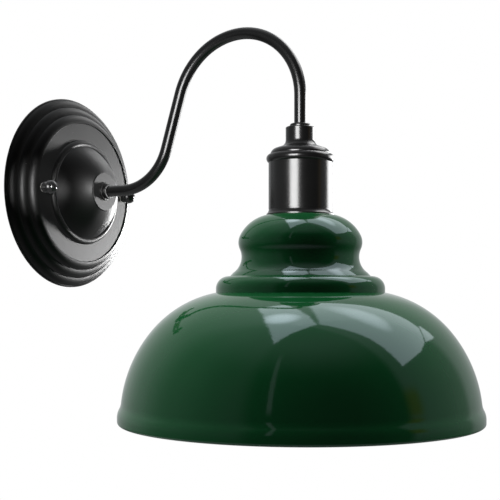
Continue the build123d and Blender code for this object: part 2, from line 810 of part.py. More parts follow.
def main():
    os.makedirs("parts", exist_ok=True)
    nut = ball_nut()
    nodes = {
        "mounting_bar": mounting_bar(),
        "plate_studs": plate_studs(),
        "stud_washers": stud_washers(),
        "ball_nut_left": Pos(-stud_half, 0, 0) * nut,
        "ball_nut_right": Pos(stud_half, 0, 0) * nut,
        "back_plate": back_plate(),
        "arm_collar": arm_collar(),
        "arm_lock_washer": arm_lock_washer(),
        "arm_nut": arm_nut(),
        "gooseneck_tube": gooseneck_tube(),
        "tube_bush_wall": tube_bush_wall(),
        "tube_bush_lamp": tube_bush_lamp(),
        "holder_locknut": holder_locknut(),
        "holder_cap": holder_cap(),
        "holder_shell": holder_shell(),
        "holder_bridge": holder_bridge(),
        "bridge_screws": bridge_screws(),
        "holder_inner_nut": holder_inner_nut(),
        "lampholder_body": lampholder_body(),
        "screw_shell": screw_shell(),
        "neutral_terminal": neutral_terminal(),
        "live_terminal": live_terminal(),
        "terminal_screws": terminal_screws(),
        "contact_washer": contact_washer(),
        "contact_spring": contact_spring(),
        "centre_contact": centre_contact(),
        "contact_clip": contact_clip(),
        "seat_ring": seat_ring(),
        "shade": shade(),
        "shade_ring": shade_ring(),
        "terminal_block": terminal_block(),
        "block_clamps": block_clamps(),
        "block_screws": block_screws(),
        "block_fixing_screw": block_fixing_screw(),
        "earth_tag": earth_tag(),
        "earth_screw": earth_screw(),
        "earth_wire": earth_wire(),
        "live_wire": arm_wire(-1),
        "neutral_wire": arm_wire(1),
    }
    for node, shape in nodes.items():
        write(node, shape)


main()
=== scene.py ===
import math
import bmesh
import bpy
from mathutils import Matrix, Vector


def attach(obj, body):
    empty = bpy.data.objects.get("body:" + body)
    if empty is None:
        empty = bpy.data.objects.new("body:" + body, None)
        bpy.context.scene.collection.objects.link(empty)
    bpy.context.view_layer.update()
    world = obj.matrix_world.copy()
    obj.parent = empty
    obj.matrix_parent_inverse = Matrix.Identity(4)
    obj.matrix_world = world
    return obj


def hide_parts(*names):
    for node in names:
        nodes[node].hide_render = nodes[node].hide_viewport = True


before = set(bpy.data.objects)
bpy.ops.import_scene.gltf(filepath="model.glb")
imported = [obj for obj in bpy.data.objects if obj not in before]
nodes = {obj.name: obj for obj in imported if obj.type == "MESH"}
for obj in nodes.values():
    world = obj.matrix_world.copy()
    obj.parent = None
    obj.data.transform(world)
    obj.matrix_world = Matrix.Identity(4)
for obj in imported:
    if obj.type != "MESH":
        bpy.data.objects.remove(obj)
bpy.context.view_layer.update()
print("frame loaded:", len(nodes), "nodes")

lampY = -0.2445  # metres: the lamp's upright axis is at x = 0, y = lampY


# a socket that takes part in sums, each of which adds its Math node
class Signal:
    def __init__(self, owner, socket):
        self.owner = owner
        self.socket = socket

    def step(self, operation, *values):
        return self.owner.node("ShaderNodeMath", {"operation": operation}, dict(enumerate(values)))

    def __add__(self, other):
        return self.step("ADD", self, other)

    def __sub__(self, other):
        return self.step("SUBTRACT", self, other)

    def __rsub__(self, other):
        return self.step("SUBTRACT", other, self)

    def __mul__(self, other):
        return self.step("MULTIPLY", self, other)

    def __truediv__(self, other):
        return self.step("DIVIDE", self, other)

    def __pow__(self, other):
        return self.step("POWER", self, other)

    def __neg__(self):
        return self.step("MULTIPLY", self, -1.0)

    __radd__ = __add__
    __rmul__ = __mul__

    # 0 below low, 1 above high, and smooth between them
    def ramp(self, low, high):
        return self.owner.node("ShaderNodeMapRange", {"interpolation_type": "SMOOTHSTEP"},
                               {"Value": self, "From Min": low, "From Max": high})


# the nodes of a material, a lamp, the world or a modifier
class Tree:
    def __init__(self, tree):
        self.tree = tree
        tree.nodes.clear()

    def feed(self, socket, value):
        if isinstance(value, Signal):
            self.tree.links.new(value.socket, socket)
        else:
            socket.default_value = value

    # any node: its type, its settings, its sockets by name or number, and the outputs to go on from
    def node(self, kind, settings=None, sockets=None, output=0):
        made = self.tree.nodes.new(kind)
        for name, value in (settings or {}).items():
            setattr(made, name, value)
        for name, value in (sockets or {}).items():
            self.feed(made.inputs[name], value)
        if isinstance(output, tuple):
            return [Signal(self, made.outputs[name]) for name in output]
        return Signal(self, made.outputs[output]) if made.outputs else None

    # the colour low where the mask is 0, and high where it is 1
    def mix(self, mask, low, high):
        return self.node("ShaderNodeMix", {"data_type": "RGBA"}, {0: mask, 6: low, 7: high}, 2)

    def parts(self, vector):
        return self.node("ShaderNodeSeparateXYZ", {}, {0: vector}, (0, 1, 2))


# a material, whose patterns lie on the piece's Object coordinates; all sizes are in metres
class Finish(Tree):
    def __init__(self, name):
        self.material = bpy.data.materials.new(name)
        self.material.use_nodes = True
        super().__init__(self.material.node_tree)
        self.place = self.node("ShaderNodeTexCoord", output="Object")

    # coordinates counted from a centre, or stretched
    def at(self, centre=(0, 0, 0), scale=(1, 1, 1)):
        shift = [-c * s for c, s in zip(centre, scale)]
        return self.node("ShaderNodeMapping", {},
                         {"Vector": self.place, "Location": shift, "Scale": scale})

    def noise(self, size, detail=2.0, roughness=0.5, where=None):
        return self.node("ShaderNodeTexNoise", {}, {
            "Vector": where or self.place, "Scale": 1.0 / size, "Detail": detail,
            "Roughness": roughness})

    # noise on top of a base, in layers of (size, detail, amount)
    def layers(self, base, layers):
        for size, detail, amount in layers:
            base = self.noise(size, detail) * amount + base
        return base

    # round specks on a grid of cells, in a share of the cells; the radius counts in cells
    def specks(self, cell, radius, share):
        near, chosen = self.node("ShaderNodeTexVoronoi", {},
                                 {"Vector": self.place, "Scale": 1.0 / cell}, ("Distance", "Color"))
        pick = self.parts(chosen)[0]
        return (1 - near.ramp(radius * 0.6, radius)) * (1 - pick.ramp(share * 0.98, share))

    def bump(self, height, depth):
        return self.node("ShaderNodeBump", {},
                         {"Height": height, "Distance": depth, "Strength": 1.0})

    # the material with these values and signals on its shader
    def coat(self, sockets):
        shader = self.node("ShaderNodeBsdfPrincipled", {}, sockets)
        self.node("ShaderNodeOutputMaterial", {}, {"Surface": shader})
        return self.material


# green outside and over the rolled rim, white inside
def greenEnamel():
    look = {"green": (0.0045, 0.057, 0.016, 1), "lightGreen": (0.0065, 0.076, 0.0215, 1),
            "white": (0.80, 0.80, 0.77, 1), "brightWhite": (0.86, 0.86, 0.84, 1),
            "cloud": 0.09, "whiteCloud": 0.05, "pit": (0.001, 0.012, 0.004, 1), "pitShade": 0.5,
            "pitCell": 0.004, "pitRadius": 0.09, "pitShare": 0.05, "pitDepth": 0.15,
            "levelShare": 0.45, "turnsIn": (-0.06, 0.02), "rimLevel": (-0.1989, -0.1981),
            "rough": 0.035, "smears": [(0.03, 4, 0.03), (0.0012, 3, 0.02)],
            "waves": [(0.0065, 2, 0.6), (0.0022, 2, 0.16)], "waveDepth": 0.00003,
            "index": 1.5, "mirrorTint": (0.82, 0.94, 1.0, 1)}
    f = Finish("greenEnamel")
    faceX, faceY, faceZ = f.parts(f.node("ShaderNodeNewGeometry", output="Normal"))
    x, y, z = f.parts(f.at((0, lampY, 0)))
    radius = (x * x + y * y) ** 0.5
    outward = (faceX * x + faceY * y) / (radius + 0.0005)  # never divides by 0
    outside = (outward + faceZ * look["levelShare"]).ramp(*look["turnsIn"])
    rim = 1 - z.ramp(*look["rimLevel"])
    painted = outside + (1 - outside) * rim
    pits = f.specks(look["pitCell"], look["pitRadius"], look["pitShare"])
    green = f.mix(f.noise(look["cloud"], 3), look["green"], look["lightGreen"])
    green = f.mix(pits * look["pitShade"], green, look["pit"])
    white = f.mix(f.noise(look["whiteCloud"], 4), look["white"], look["brightWhite"])
    waves = f.layers(0.0, look["waves"]) - pits * look["pitDepth"]
    return f.coat({"Base Color": f.mix(painted, white, green),
                   "Roughness": f.layers(look["rough"], look["smears"]),
                   "Normal": f.bump(waves, look["waveDepth"]),
                   "IOR": look["index"], "Specular Tint": look["mirrorTint"]})


def tinted(tone, red, green, blue):
    return (tone * red, tone * green, tone * blue, 1)


# sprayed black with some dust in it; shine is how strongly it mirrors
def satinBlack(name, tone, rough, grain, depth, specks, shine=0.5):
    look = {"dark": (0.8, 0.8, 0.8), "light": (1.25, 1.25, 1.22), "cloud": 0.02,
            "dust": (0.22, 0.22, 0.21, 1), "dustCell": 0.0035, "dustRadius": 0.07, "dustRise": 0.6,
            "smears": [(0.012, 3, 0.08), (grain, 2, 0.04)], "meanSmear": 0.05,
            "peel": [(grain * 6, 2, 0.7)]}
    f = Finish(name)
    dark, light = tinted(tone, *look["dark"]), tinted(tone, *look["light"])
    body = f.mix(f.noise(look["cloud"], 4), dark, light)
    dust = f.specks(look["dustCell"], look["dustRadius"], specks)
    peel = f.layers(f.noise(grain, 2, 0.6), look["peel"]) + dust * look["dustRise"]
    return f.coat({"Base Color": f.mix(dust, body, look["dust"]),
                   "Roughness": f.layers(rough - look["meanSmear"], look["smears"]),
                   "Normal": f.bump(peel, depth), "Specular IOR Level": shine})


# drawn and lacquered, with long marks up and down it
def glossBlack(name, tone, rough):
    look = {"dark": (0.8, 0.8, 0.8), "light": (1.3, 1.3, 1.35), "cloud": 0.01,
            "drawn": 0.0015, "drawnScale": (1, 1, 0.25), "drawnRough": 0.06, "drawnDepth": 0.15,
            "smears": [(0.02, 2, 0.03)], "waves": [(0.0035, 2, 1.0)], "waveDepth": 0.000003}
    f = Finish(name)
    dark, light = tinted(tone, *look["dark"]), tinted(tone, *look["light"])
    drawn = f.noise(look["drawn"], 4, 0.6, f.at(scale=look["drawnScale"]))
    waves = f.layers(drawn * look["drawnDepth"], look["waves"])
    return f.coat({"Base Color": f.mix(f.noise(look["cloud"], 3), dark, light),
                   "Roughness": f.layers(rough + drawn * look["drawnRough"], look["smears"]),
                   "Normal": f.bump(waves, look["waveDepth"])})


# bare or plated metal, dulled in patches and rubbed along its streaks
def plated(name, dark, light, rough, grain=0.0016, streak=(1, 1, 1)):
    look = {"cloud": 0.006, "cloudShare": 0.7, "rubbedShare": 0.3, "dulled": (0.45, 0.75),
            "dulledRough": 0.125, "rubbedRough": 0.12, "waves": [(0.004, 2, 0.4)],
            "waveDepth": 0.000004}
    f = Finish(name)
    cloud = f.noise(look["cloud"], 5, 0.6)
    rubbed = f.noise(grain, 4, 0.65, f.at(scale=streak))
    dulled = cloud.ramp(*look["dulled"]) * look["dulledRough"]
    patches = cloud * look["cloudShare"] + rubbed * look["rubbedShare"]
    return f.coat({"Base Color": f.mix(patches, dark, light),
                   "Roughness": rough + dulled + rubbed * look["rubbedRough"],
                   "Normal": f.bump(f.layers(rubbed, look["waves"]), look["waveDepth"]),
                   "Metallic": 1.0})


# plastic from a spark-eroded mould
def moulded(name, dark, light, rough):
    look = {"cloud": 0.008, "spark": 0.0006, "sparkRough": 0.1, "meanSpark": 0.05,
            "waves": [(0.005, 2, 0.5)], "depth": 0.000012}
    f = Finish(name)
    spark = f.noise(look["spark"], 3, 0.6)
    return f.coat({"Base Color": f.mix(f.noise(look["cloud"], 4), dark, light),
                   "Roughness": rough + spark * look["sparkRough"] - look["meanSpark"],
                   "Normal": f.bump(f.layers(spark, look["waves"]), look["depth"])})


# glazed, with a few iron specks
def porcelain():
    look = {"glaze": (0.80, 0.785, 0.73, 1), "paleGlaze": (0.87, 0.86, 0.82, 1), "cloud": 0.012,
            "iron": (0.28, 0.20, 0.13, 1), "ironCell": 0.0028, "ironRadius": 0.06,
            "ironShare": 0.06, "ironDepth": 0.3, "rough": 0.10, "smears": [(0.006, 3, 0.08)],
            "waves": [(0.003, 2, 0.5)], "waveDepth": 0.00002}
    f = Finish("porcelain")
    iron = f.specks(look["ironCell"], look["ironRadius"], look["ironShare"])
    glaze = f.mix(f.noise(look["cloud"], 3), look["glaze"], look["paleGlaze"])
    waves = f.layers(0.0, look["waves"]) - iron * look["ironDepth"]
    return f.coat({"Base Color": f.mix(iron, glaze, look["iron"]),
                   "Roughness": f.layers(look["rough"], look["smears"]),
                   "Normal": f.bump(waves, look["waveDepth"])})


# a green earth wire with a yellow stripe between two levels, whose edges waver
def earthSleeve():
    look = {"green": (0.03, 0.24, 0.05, 1), "yellow": (0.72, 0.62, 0.03, 1),
            "low": (-0.00045, -0.0003), "high": (0.00045, 0.0006),
            "waver": [(0.004, 2, 0.0002)], "meanWaver": 0.0001,
            "rough": 0.42, "smears": [(0.0008, 3, 0.12)], "wave": 0.0009, "waveDepth": 0.00001}
    f = Finish("earthSleeve")
    height = f.layers(f.parts(f.place)[2], look["waver"]) - look["meanWaver"]
    stripe = height.ramp(*look["low"]) * (1 - height.ramp(*look["high"]))
    return f.coat({"Base Color": f.mix(stripe, look["green"], look["yellow"]),
                   "Roughness": f.layers(look["rough"], look["smears"]),
                   "Normal": f.bump(f.noise(look["wave"], 3), look["waveDepth"])})


finishes = {
    "green_enamel": greenEnamel(),
    "black_enamel": satinBlack("plateBlack", tone=0.0015, rough=0.45, grain=0.0012, depth=0.00003,
                               specks=0.09, shine=0.2),
    "black_satin_metal": satinBlack("holderBlack", tone=0.004, rough=0.22, grain=0.0004,
                                    depth=0.000003, specks=0.01),
    "black_tube": glossBlack("tubeBlack", tone=0.003, rough=0.20),
    "gloss_black_knob": glossBlack("knobBlack", tone=0.004, rough=0.20),
    "bright_nickel": plated("brightNickel", (0.62, 0.60, 0.56, 1), (0.78, 0.77, 0.74, 1),
                            rough=0.12),
    "zinc_steel": plated("zincSteel", (0.48, 0.48, 0.47, 1), (0.68, 0.68, 0.64, 1), rough=0.30,
                         grain=0.0012, streak=(0.2, 1, 1)),
    "nickel_brass": plated("nickelBrass", (0.60, 0.57, 0.50, 1), (0.75, 0.73, 0.68, 1), rough=0.20),
    "brass": plated("brass", (0.62, 0.42, 0.16, 1), (0.82, 0.62, 0.28, 1), rough=0.24),
    "spring_steel": plated("springSteel", (0.42, 0.42, 0.42, 1), (0.60, 0.60, 0.60, 1), rough=0.25,
                           grain=0.0008),
    "black_plastic": moulded("blackPlastic", (0.016, 0.016, 0.017, 1), (0.03, 0.03, 0.031, 1),
                             rough=0.42),
    "porcelain": porcelain(),
    "white_plastic": moulded("whitePlastic", (0.74, 0.73, 0.69, 1), (0.82, 0.81, 0.78, 1),
                             rough=0.38),
    "earth_sleeve": earthSleeve(),
    "live_sleeve": moulded("liveSleeve", (0.13, 0.045, 0.02, 1), (0.19, 0.07, 0.03, 1), rough=0.40),
    "neutral_sleeve": moulded("neutralSleeve", (0.03, 0.10, 0.36, 1), (0.05, 0.15, 0.46, 1),
                              rough=0.40),
}

for node in nodes.values():
    for place in node.material_slots:  # each slot's material carries the slot's name
        place.material = finishes[place.material.name.split(".")[0]]
print("finishes made:", len(finishes))


# an outline is a list of (radius, level, heading), in millimetres and radians
def straight(path, radius, level):
    path.append((radius, level, math.atan2(level - path[-1][1], radius - path[-1][0])))


# an arc that carries on from the path, to the left, or to the right where the angle is negative
def bend(path, radius, angle, step=1.6):
    r, z, heading = path[-1]
    side = 1 if angle > 0 else -1
    middle = (r - side * radius * math.sin(heading), z + side * radius * math.cos(heading))
    count = max(3, math.ceil(math.radians(abs(angle)) * radius / step))
    for i in range(1, count + 1):
        h = heading + math.radians(angle) * i / count
        path.append((middle[0] + side * radius * math.sin(h),
                     middle[1] - side * radius * math.cos(h), h))


# an arc that carries on from the path and ends at a point
def reach(path, radius, level):
    r, z, heading = path[-1]
    chord = math.atan2(level - z, radius - r)
    turn = (chord - heading + math.pi) % (2 * math.pi) - math.pi
    curve = math.hypot(radius - r, level - z) / (2 * abs(math.sin(turn)))
    bend(path, curve, math.degrees(2 * turn))


# a closed outline turned about the lamp's axis, with its faces outwards
def turnedPiece(name, outline, spokes, top, sharp):
    perMetre = 1000
    count = len(outline)
    points = []
    for spoke in range(spokes):
        a = 2 * math.pi * spoke / spokes
        for r, z in outline:
            points.append((r * math.sin(a) / perMetre, lampY - r * math.cos(a) / perMetre,
                           (top + z) / perMetre))
    faces = []
    for spoke in range(spokes):
        this, other = spoke * count, (spoke + 1) % spokes * count
        for i in range(count):
            j = (i + 1) % count
            faces.append((this + i, this + j, other + j, other + i))
    mesh = bpy.data.meshes.new(name)
    mesh.from_pydata(points, [], faces)
    mesh.update()
    made = bpy.data.objects.new(name, mesh)
    bpy.context.collection.objects.link(made)
    shape = bmesh.new()
    shape.from_mesh(mesh)
    bmesh.ops.recalc_face_normals(shape, faces=shape.faces)
    shape.to_mesh(mesh)
    shape.free()
    mesh.shade_smooth()
    mesh.set_sharp_from_angle(angle=math.radians(sharp))
    return made


# the shade as pressed sheet: its outer face from the hole to the rim, then its inner face back
def enamelShade():
    size = {"top": -29.5, "hole": 19.8, "flat": 27.8, "slope": -0.2, "crown": (49.7, -16.9),
            "bulge": (49.85, -28.1), "flare": (55.2, -47.5), "ring": (58.057, -50.576),
            "ringCurve": 10.2, "ringTurn": 97, "domeTop": (69.5, -63.9), "bandTop": (150.0, -165.0),
            "stepCurve": 13.9, "stepOut": 28.4, "stepIn": 22.1, "shoulderCurve": 110.1,
            "shoulderTurn": 32.6, "rim": -168.0, "curl": 2.6, "wall": 1.0,
            "spokes": 240, "fine": 0.9, "finest": 0.5, "sharp": 40}
    neck = [(size["hole"], 0, 0)]
    straight(neck, size["flat"], 0)
    neck[-1] = (size["flat"], 0, math.atan2(size["slope"], 1))
    reach(neck, *size["crown"])
    reach(neck, *size["bulge"])
    reach(neck, *size["flare"])
    straight(neck, *size["ring"])
    neck.append((*size["ring"], math.radians(size["ringTurn"] - 90)))
    bend(neck, size["ringCurve"], -size["ringTurn"], size["fine"])
    straight(neck, *size["domeTop"])
    dome = [(*size["bandTop"], math.pi / 2)]  # drawn upwards, then turned round
    bend(dome, size["stepCurve"], size["stepOut"], size["fine"])
    bend(dome, size["stepCurve"], -size["stepIn"], size["fine"])
    bend(dome, size["shoulderCurve"], size["shoulderTurn"])
    reach(dome, *size["domeTop"])
    dome = [(r, z, h + math.pi) for r, z, h in reversed(dome)]
    rim = [dome[-1]]
    straight(rim, size["bandTop"][0], size["rim"])
    bend(rim, size["curl"], -180, size["finest"])
    shown = neck + dome + rim[1:]
    wall = size["wall"]
    hidden = [(r + wall * math.sin(h), z - wall * math.cos(h)) for r, z, h in shown]
    outline = [(r, z) for r, z, h in shown] + hidden[::-1]
    made = turnedPiece("enamelShade", outline, size["spokes"], size["top"], size["sharp"])
    made.data.materials.append(finishes["green_enamel"])
    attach(made, "root")
    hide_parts("shade")
    print("shade turned:", len(made.data.polygons), "faces")


enamelShade()


# a Geometry Nodes tree with named inputs, from which pieces are grown
class Growth(Tree):
    def __init__(self, name, **inputs):
        tree = bpy.data.node_groups.new(name, "GeometryNodeTree")
        super().__init__(tree)
        tree.is_modifier = True
        for title, value in inputs.items():
            kind = "NodeSocketVector" if isinstance(value, tuple) else "NodeSocketFloat"
            given = tree.interface.new_socket(title, in_out="INPUT", socket_type=kind)
            given.default_value = value
        tree.interface.new_socket("finish", in_out="INPUT", socket_type="NodeSocketMaterial")
        tree.interface.new_socket("Geometry", in_out="OUTPUT", socket_type="NodeSocketGeometry")

    def size(self, title):
        return self.node("NodeGroupInput", output=title)

    # puts the shape in its place and closes the tree
    def end(self, shape):
        shape = self.node("GeometryNodeTransform", {}, {
            "Geometry": shape, "Translation": self.size("place"), "Rotation": self.size("turn")})
        shape = self.node("GeometryNodeRealizeInstances", {}, {"Geometry": shape})
        shape = self.node("GeometryNodeSetMaterial", {},
                          {"Geometry": shape, "Material": self.size("finish")})
        self.node("NodeGroupOutput", {}, {0: shape})

    # one finished piece: the tree with these sizes, made a plain mesh
    def piece(self, name, body, slot, sizes):
        made = bpy.data.objects.new(name, bpy.data.meshes.new(name))
        bpy.context.collection.objects.link(made)
        grow = made.modifiers.new("grow", "NODES")
        grow.node_group = self.tree
        given = {**sizes, "finish": finishes[slot]}
        for socket in self.tree.interface.items_tree:
            if socket.name in given:
                grow[socket.identifier] = given[socket.name]
        seen = made.evaluated_get(bpy.context.evaluated_depsgraph_get())
        made.data = bpy.data.meshes.new_from_object(seen)
        made.modifiers.clear()
        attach(made, body)


# a rounded ridge that winds about an upright axis
def threadTree():
    g = Growth("thread", radius=0.013, pitch=0.0036, turns=5.0, ridge=0.0005,
               place=(0.0, 0.0, 0.0), turn=(0.0, 0.0, 0.0))
    line = g.node("GeometryNodeCurveSpiral", {}, {
        "Resolution": 64, "Rotations": g.size("turns"), "Height": g.size("pitch") * g.size("turns"),
        "Start Radius": g.size("radius"), "End Radius": g.size("radius")})
    profile = g.node("GeometryNodeCurvePrimitiveCircle", {},
                     {"Resolution": 8, "Radius": g.size("ridge")})
    ridge = g.node("GeometryNodeCurveToMesh", {},
                   {"Curve": line, "Profile Curve": profile, "Fill Caps": True})
    g.end(g.node("GeometryNodeSetShadeSmooth", {}, {"Geometry": ridge}))
    return g


# two low domed screw heads in a row along X, each with a cross cut in it, span times its radius
def headTree():
    g = Growth("heads", radius=0.0035, rise=0.0008, cut=0.0008, span=1.15, depth=0.0006, gap=0.114,
               place=(0.0, 0.0, 0.0), turn=(0.0, 0.0, 0.0))
    ball = g.node("GeometryNodeMeshUVSphere", {},
                  {"Segments": 48, "Rings": 24, "Radius": g.size("radius")})
    flat = g.node("ShaderNodeCombineXYZ", {},
                  {"X": 1.0, "Y": 1.0, "Z": g.size("rise") / g.size("radius")})
    shape = g.node("GeometryNodeTransform", {}, {"Geometry": ball, "Scale": flat})
    above = g.node("ShaderNodeCombineXYZ", {}, {"Z": g.size("rise")})
    length = g.size("radius") * g.size("span")
    for across, along in ((length, g.size("cut")), (g.size("cut"), length)):
        blade = g.node("ShaderNodeCombineXYZ", {},
                       {"X": across, "Y": along, "Z": g.size("depth") * 2})
        bar = g.node("GeometryNodeMeshCube", {}, {"Size": blade})
        bar = g.node("GeometryNodeTransform", {}, {"Geometry": bar, "Translation": above})
        shape = g.node("GeometryNodeMeshBoolean", {"operation": "DIFFERENCE"}, {0: shape, 1: bar})
    first = g.node("ShaderNodeCombineXYZ", {}, {"X": g.size("gap") * -0.5})
    onwards = g.node("ShaderNodeCombineXYZ", {}, {"X": g.size("gap")})
    row = g.node("GeometryNodeMeshLine", {},
                 {"Count": 2, "Start Location": first, "Offset": onwards})
    g.end(g.node("GeometryNodeInstanceOnPoints", {}, {"Points": row, "Instance": shape}))
    return g


# the rolled thread of the screw shell, and the one on the skirt that takes the clamp ring
def threads():
    shell = {"radius": 0.01325, "pitch": 0.00363, "turns": 5.0, "ridge": 0.0006,
             "place": (0, lampY, -0.0385)}
    skirt = {"radius": 0.01935, "pitch": 0.0024, "turns": 1.8, "ridge": 0.0005,
             "place": (0, lampY, -0.0432)}
    tree = threadTree()
    tree.piece("shellThread", "root", "nickel_brass", shell)
    tree.piece("skirtThread", "root", "black_plastic", skirt)


# the heads of the plate's two studs, behind the mounting bar
def studHeads():
    size = {"radius": 0.0034, "rise": 0.0009, "cut": 0.0009, "span": 1.15, "depth": 0.0006,
            "gap": 0.114, "place": (0, -0.0019, 0), "turn": (-math.pi / 2, 0, 0)}
    headTree().piece("studHeads", "root", "zinc_steel", size)


threads()
studHeads()
print("threads and heads grown")


# azimuth 0 is out of the wall and 90 is +X, in degrees
def direction(azimuth, height):
    a, e = math.radians(azimuth), math.radians(height)
    return Vector((math.sin(a) * math.cos(e), -math.cos(a) * math.cos(e), math.sin(e)))


# what gloss mirrors: a grey room in bands of (level, from azimuth, to azimuth), where a rise adds
# its level past its azimuths and a fall before them, with a bright bar and a warm patch
def studioWorld():
    size = {"dark": 0.022, "ground": (-30, 6), "top": 0.30, "topFrom": (38, 72),
            "rises": [(0.24, 4, 12), (0.26, 60, 70), (0.18, 98, 112), (-0.12, 130, 150),
                      (-0.10, 150, 178)],
            "falls": [(0.12, -104, -90), (0.09, -150, -115), (0.28, -188, -150)],
            "bar": {"from": (-83.2, -82.6), "to": (-80.0, -79.2), "low": (8, 16), "high": (50, 62)},
            "warm": {"from": (1, 8), "to": (14, 22), "low": (1, 8), "high": (17, 26)},
            "barLevel": 0.34, "cool": (0.98, 1.0, 1.02, 1), "amber": (1.0, 0.60, 0.06, 1)}
    world = bpy.data.worlds.new("studio")
    bpy.context.scene.world = world
    world.use_nodes = True
    s = Tree(world.node_tree)
    x, y, z = s.parts(s.node("ShaderNodeTexCoord", output="Generated"))
    azimuth = x.step("ARCTAN2", x, -y) * (180 / math.pi)
    height = z.step("ARCSINE", z) * (180 / math.pi)
    bands = 0.0
    for level, start, end in size["rises"]:
        bands = azimuth.ramp(start, end) * level + bands
    for level, start, end in size["falls"]:
        bands = (1 - azimuth.ramp(start, end)) * level + bands
    patches = []
    for patch in (size["bar"], size["warm"]):
        across = azimuth.ramp(*patch["from"]) * (1 - azimuth.ramp(*patch["to"]))
        patches.append(across * height.ramp(*patch["low"]) * (1 - height.ramp(*patch["high"])))
    bar, warm = patches
    walls = size["dark"] + bands * height.ramp(*size["ground"])
    field = walls + height.ramp(*size["topFrom"]) * size["top"] + bar * size["barLevel"]
    tint = s.mix(warm, size["cool"], size["amber"])
    room = s.node("ShaderNodeBackground", {}, {"Color": tint, "Strength": field})
    white = s.node("ShaderNodeBackground", {}, {"Color": (1, 1, 1, 1), "Strength": 1.0})
    seen = s.node("ShaderNodeLightPath", output="Is Camera Ray")
    shown = s.node("ShaderNodeMixShader", {}, {0: seen, 1: room, 2: white})
    s.node("ShaderNodeOutputWorld", {}, {"Surface": shown})


# paper that fades out towards the floor's edge, and is clear from below
def floorPaper():
    look = {"paper": (0.84, 0.84, 0.83, 1), "palePaper": (0.87, 0.87, 0.865, 1), "cloud": 0.3,
            "rough": 0.8, "smears": [(0.01, 3, 0.1)], "fibre": 0.004, "depth": 0.0001,
            "fade": (0.55, 1.2)}
    f = Finish("floorPaper")
    paper = f.node("ShaderNodeBsdfPrincipled", {}, {
        "Base Color": f.mix(f.noise(look["cloud"], 4), look["paper"], look["palePaper"]),
        "Roughness": f.layers(look["rough"], look["smears"]),
        "Normal": f.bump(f.noise(look["fibre"], 3), look["depth"])})
    x, y = f.parts(f.at((0, lampY / 2, 0)))[:2]
    edge = ((x * x + y * y) ** 0.5).ramp(*look["fade"])
    clear = f.node("ShaderNodeBsdfTransparent")
    under = f.node("ShaderNodeNewGeometry", output="Backfacing")
    shown = f.node("ShaderNodeMixShader", {}, {0: edge, 1: paper, 2: clear})
    shown = f.node("ShaderNodeMixShader", {}, {0: under, 1: shown, 2: clear})
    f.node("ShaderNodeOutputMaterial", {}, {"Surface": shown})
    return f.material


def floor():
    size = {"level": -0.62, "radius": 1.25, "rings": 24, "spokes": 96}
    spokes = size["spokes"]
    points = [(0.0, lampY / 2, size["level"])]
    for ring in range(1, size["rings"] + 1):
        r = size["radius"] * ring / size["rings"]
        for spoke in range(spokes):
            a = 2 * math.pi * spoke / spokes
            points.append((r * math.cos(a), lampY / 2 + r * math.sin(a), size["level"]))
    faces = [(0, 1 + s, 1 + (s + 1) % spokes) for s in range(spokes)]
    for ring in range(size["rings"] - 1):
        a, b = 1 + ring * spokes, 1 + (ring + 1) * spokes
        for s in range(spokes):
            t = (s + 1) % spokes
            faces.append((a + s, b + s, b + t, a + t))
    mesh = bpy.data.meshes.new("floor")
    mesh.from_pydata(points, [], faces)
    mesh.update()
    mesh.materials.append(floorPaper())
    ground = bpy.data.objects.new("floor", mesh)
    bpy.context.collection.objects.link(ground)


def camera():
    size = {"lens": 76.5, "sensor": 36.0, "shift": 0.092,
            "place": (-0.7763, -0.6523, -0.0962), "facing": (0.8623, 0.5063, 0.0)}
    lens = bpy.data.cameras.new("camera")
    lens.lens, lens.sensor_width = size["lens"], size["sensor"]
    lens.shift_y = size["shift"]
    view = bpy.data.objects.new("camera", lens)
    bpy.context.collection.objects.link(view)
    view.location = size["place"]
    view.rotation_euler = Vector(size["facing"]).to_track_quat("-Z", "Y").to_euler()
    bpy.context.scene.camera = view


# pieces that a lamp lights, or that throw shadows in it
def group(name, *pieces):
    made = bpy.data.collections.new(name)
    for piece in pieces:
        made.objects.link(nodes.get(piece) or bpy.data.objects[piece])
    return made


def lampHolder(name, lamp, onlyFor, blockers):
    holder = bpy.data.objects.new(name, lamp)
    bpy.context.collection.objects.link(holder)
    holder.visible_camera = False
    holder.light_linking.receiver_collection = onlyFor
    holder.light_linking.blocker_collection = blockers
    return holder


# stands a lamp off from the point that it is aimed at
def aimed(holder, aim, azimuth, height, distance):
    back = direction(azimuth, height)
    holder.location = Vector(aim) + back * distance
    holder.rotation_euler = back.to_track_quat("Z", "Y").to_euler()


def panel(name, size):
    lamp = bpy.data.lights.new(name, "AREA")
    lamp.shape = "RECTANGLE"
    lamp.size, lamp.size_y = size
    return lamp


# a flat lamp; radiance is how bright its face is
def softbox(name, azimuth, height, distance, size, radiance, aim=(0, lampY, 0),
            onlyFor=None, blockers=None, reflected=True):
    lamp = panel(name, size)
    lamp.energy = radiance * math.pi * size[0] * size[1]
    holder = lampHolder(name, lamp, onlyFor, blockers)
    aimed(holder, aim, azimuth, height, distance)
    holder.visible_glossy = reflected


# a narrow beam; cone is its radius where it lands
def spot(name, azimuth, height, distance, cone, radius, radiance, aim, onlyFor):
    lamp = bpy.data.lights.new(name, "SPOT")
    lamp.spot_size = 2 * math.atan(cone / distance)
    lamp.spot_blend = 0.5
    lamp.shadow_soft_size = radius
    lamp.energy = radiance * 4 * math.pi ** 2 * radius ** 2
    aimed(lampHolder(name, lamp, onlyFor, onlyFor), aim, azimuth, height, distance)


